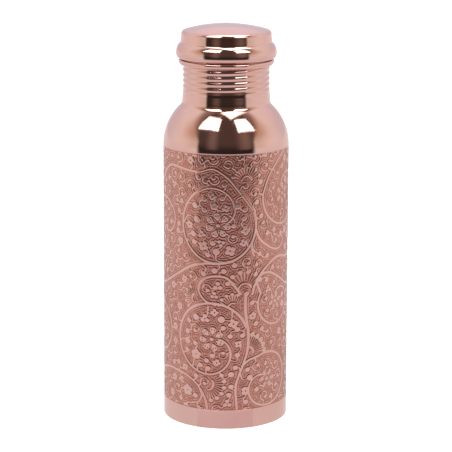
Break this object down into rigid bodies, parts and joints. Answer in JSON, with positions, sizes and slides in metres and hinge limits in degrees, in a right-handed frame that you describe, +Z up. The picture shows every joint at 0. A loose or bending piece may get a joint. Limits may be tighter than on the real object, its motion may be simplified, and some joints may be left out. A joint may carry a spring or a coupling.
{
  "type": "water bottle",
  "caption": "Tall cylindrical copper bottle with an engraved vine band, round shoulder, threaded neck and a beaded, domed screw cap that turns and lifts off.",
  "frame": {"origin": "centre of the foot rim, on the surface that the bottle stands on", "axes": "+Z up along the bottle's axis, towards the cap; the engraved scrolls seen in the reference view face -Y, with +X to their right"},
  "size_m": [0.073, 0.073, 0.2314],
  "materials": {
    "body_copper": "polished copper, engraved band darkened in its ground",
    "base_copper": "satin copper",
    "cap_copper": "polished copper",
    "ring_copper": "polished copper",
    "seat_copper": "satin copper",
    "seal_silicone": "matt silicone"
  },
  "bodies": {
    "bottle": {"body_shell": "body_copper", "base_plate": "base_copper"},
    "seal": {"cap_seal": "seal_silicone"},
    "cap": {"cap_shell": "cap_copper", "cap_thread_ring": "ring_copper", "seal_plate": "seat_copper"}
  },
  "joints": [
    {"name": "cap_lift", "type": "slide", "parent": "bottle", "child": "seal", "axis": [0, 0, 1], "range_m": [0, 0.01921]},
    {"name": "cap_turn", "type": "hinge", "parent": "seal", "child": "cap", "pos_m": [0, 0, 0.2155], "axis": [0, 0, 1], "range_deg": [0, 2160]}
  ],
  "couplings": [
    {"joint": "cap_lift", "follows": "cap_turn", "m_per_rad": 0.0005093}
  ]
}
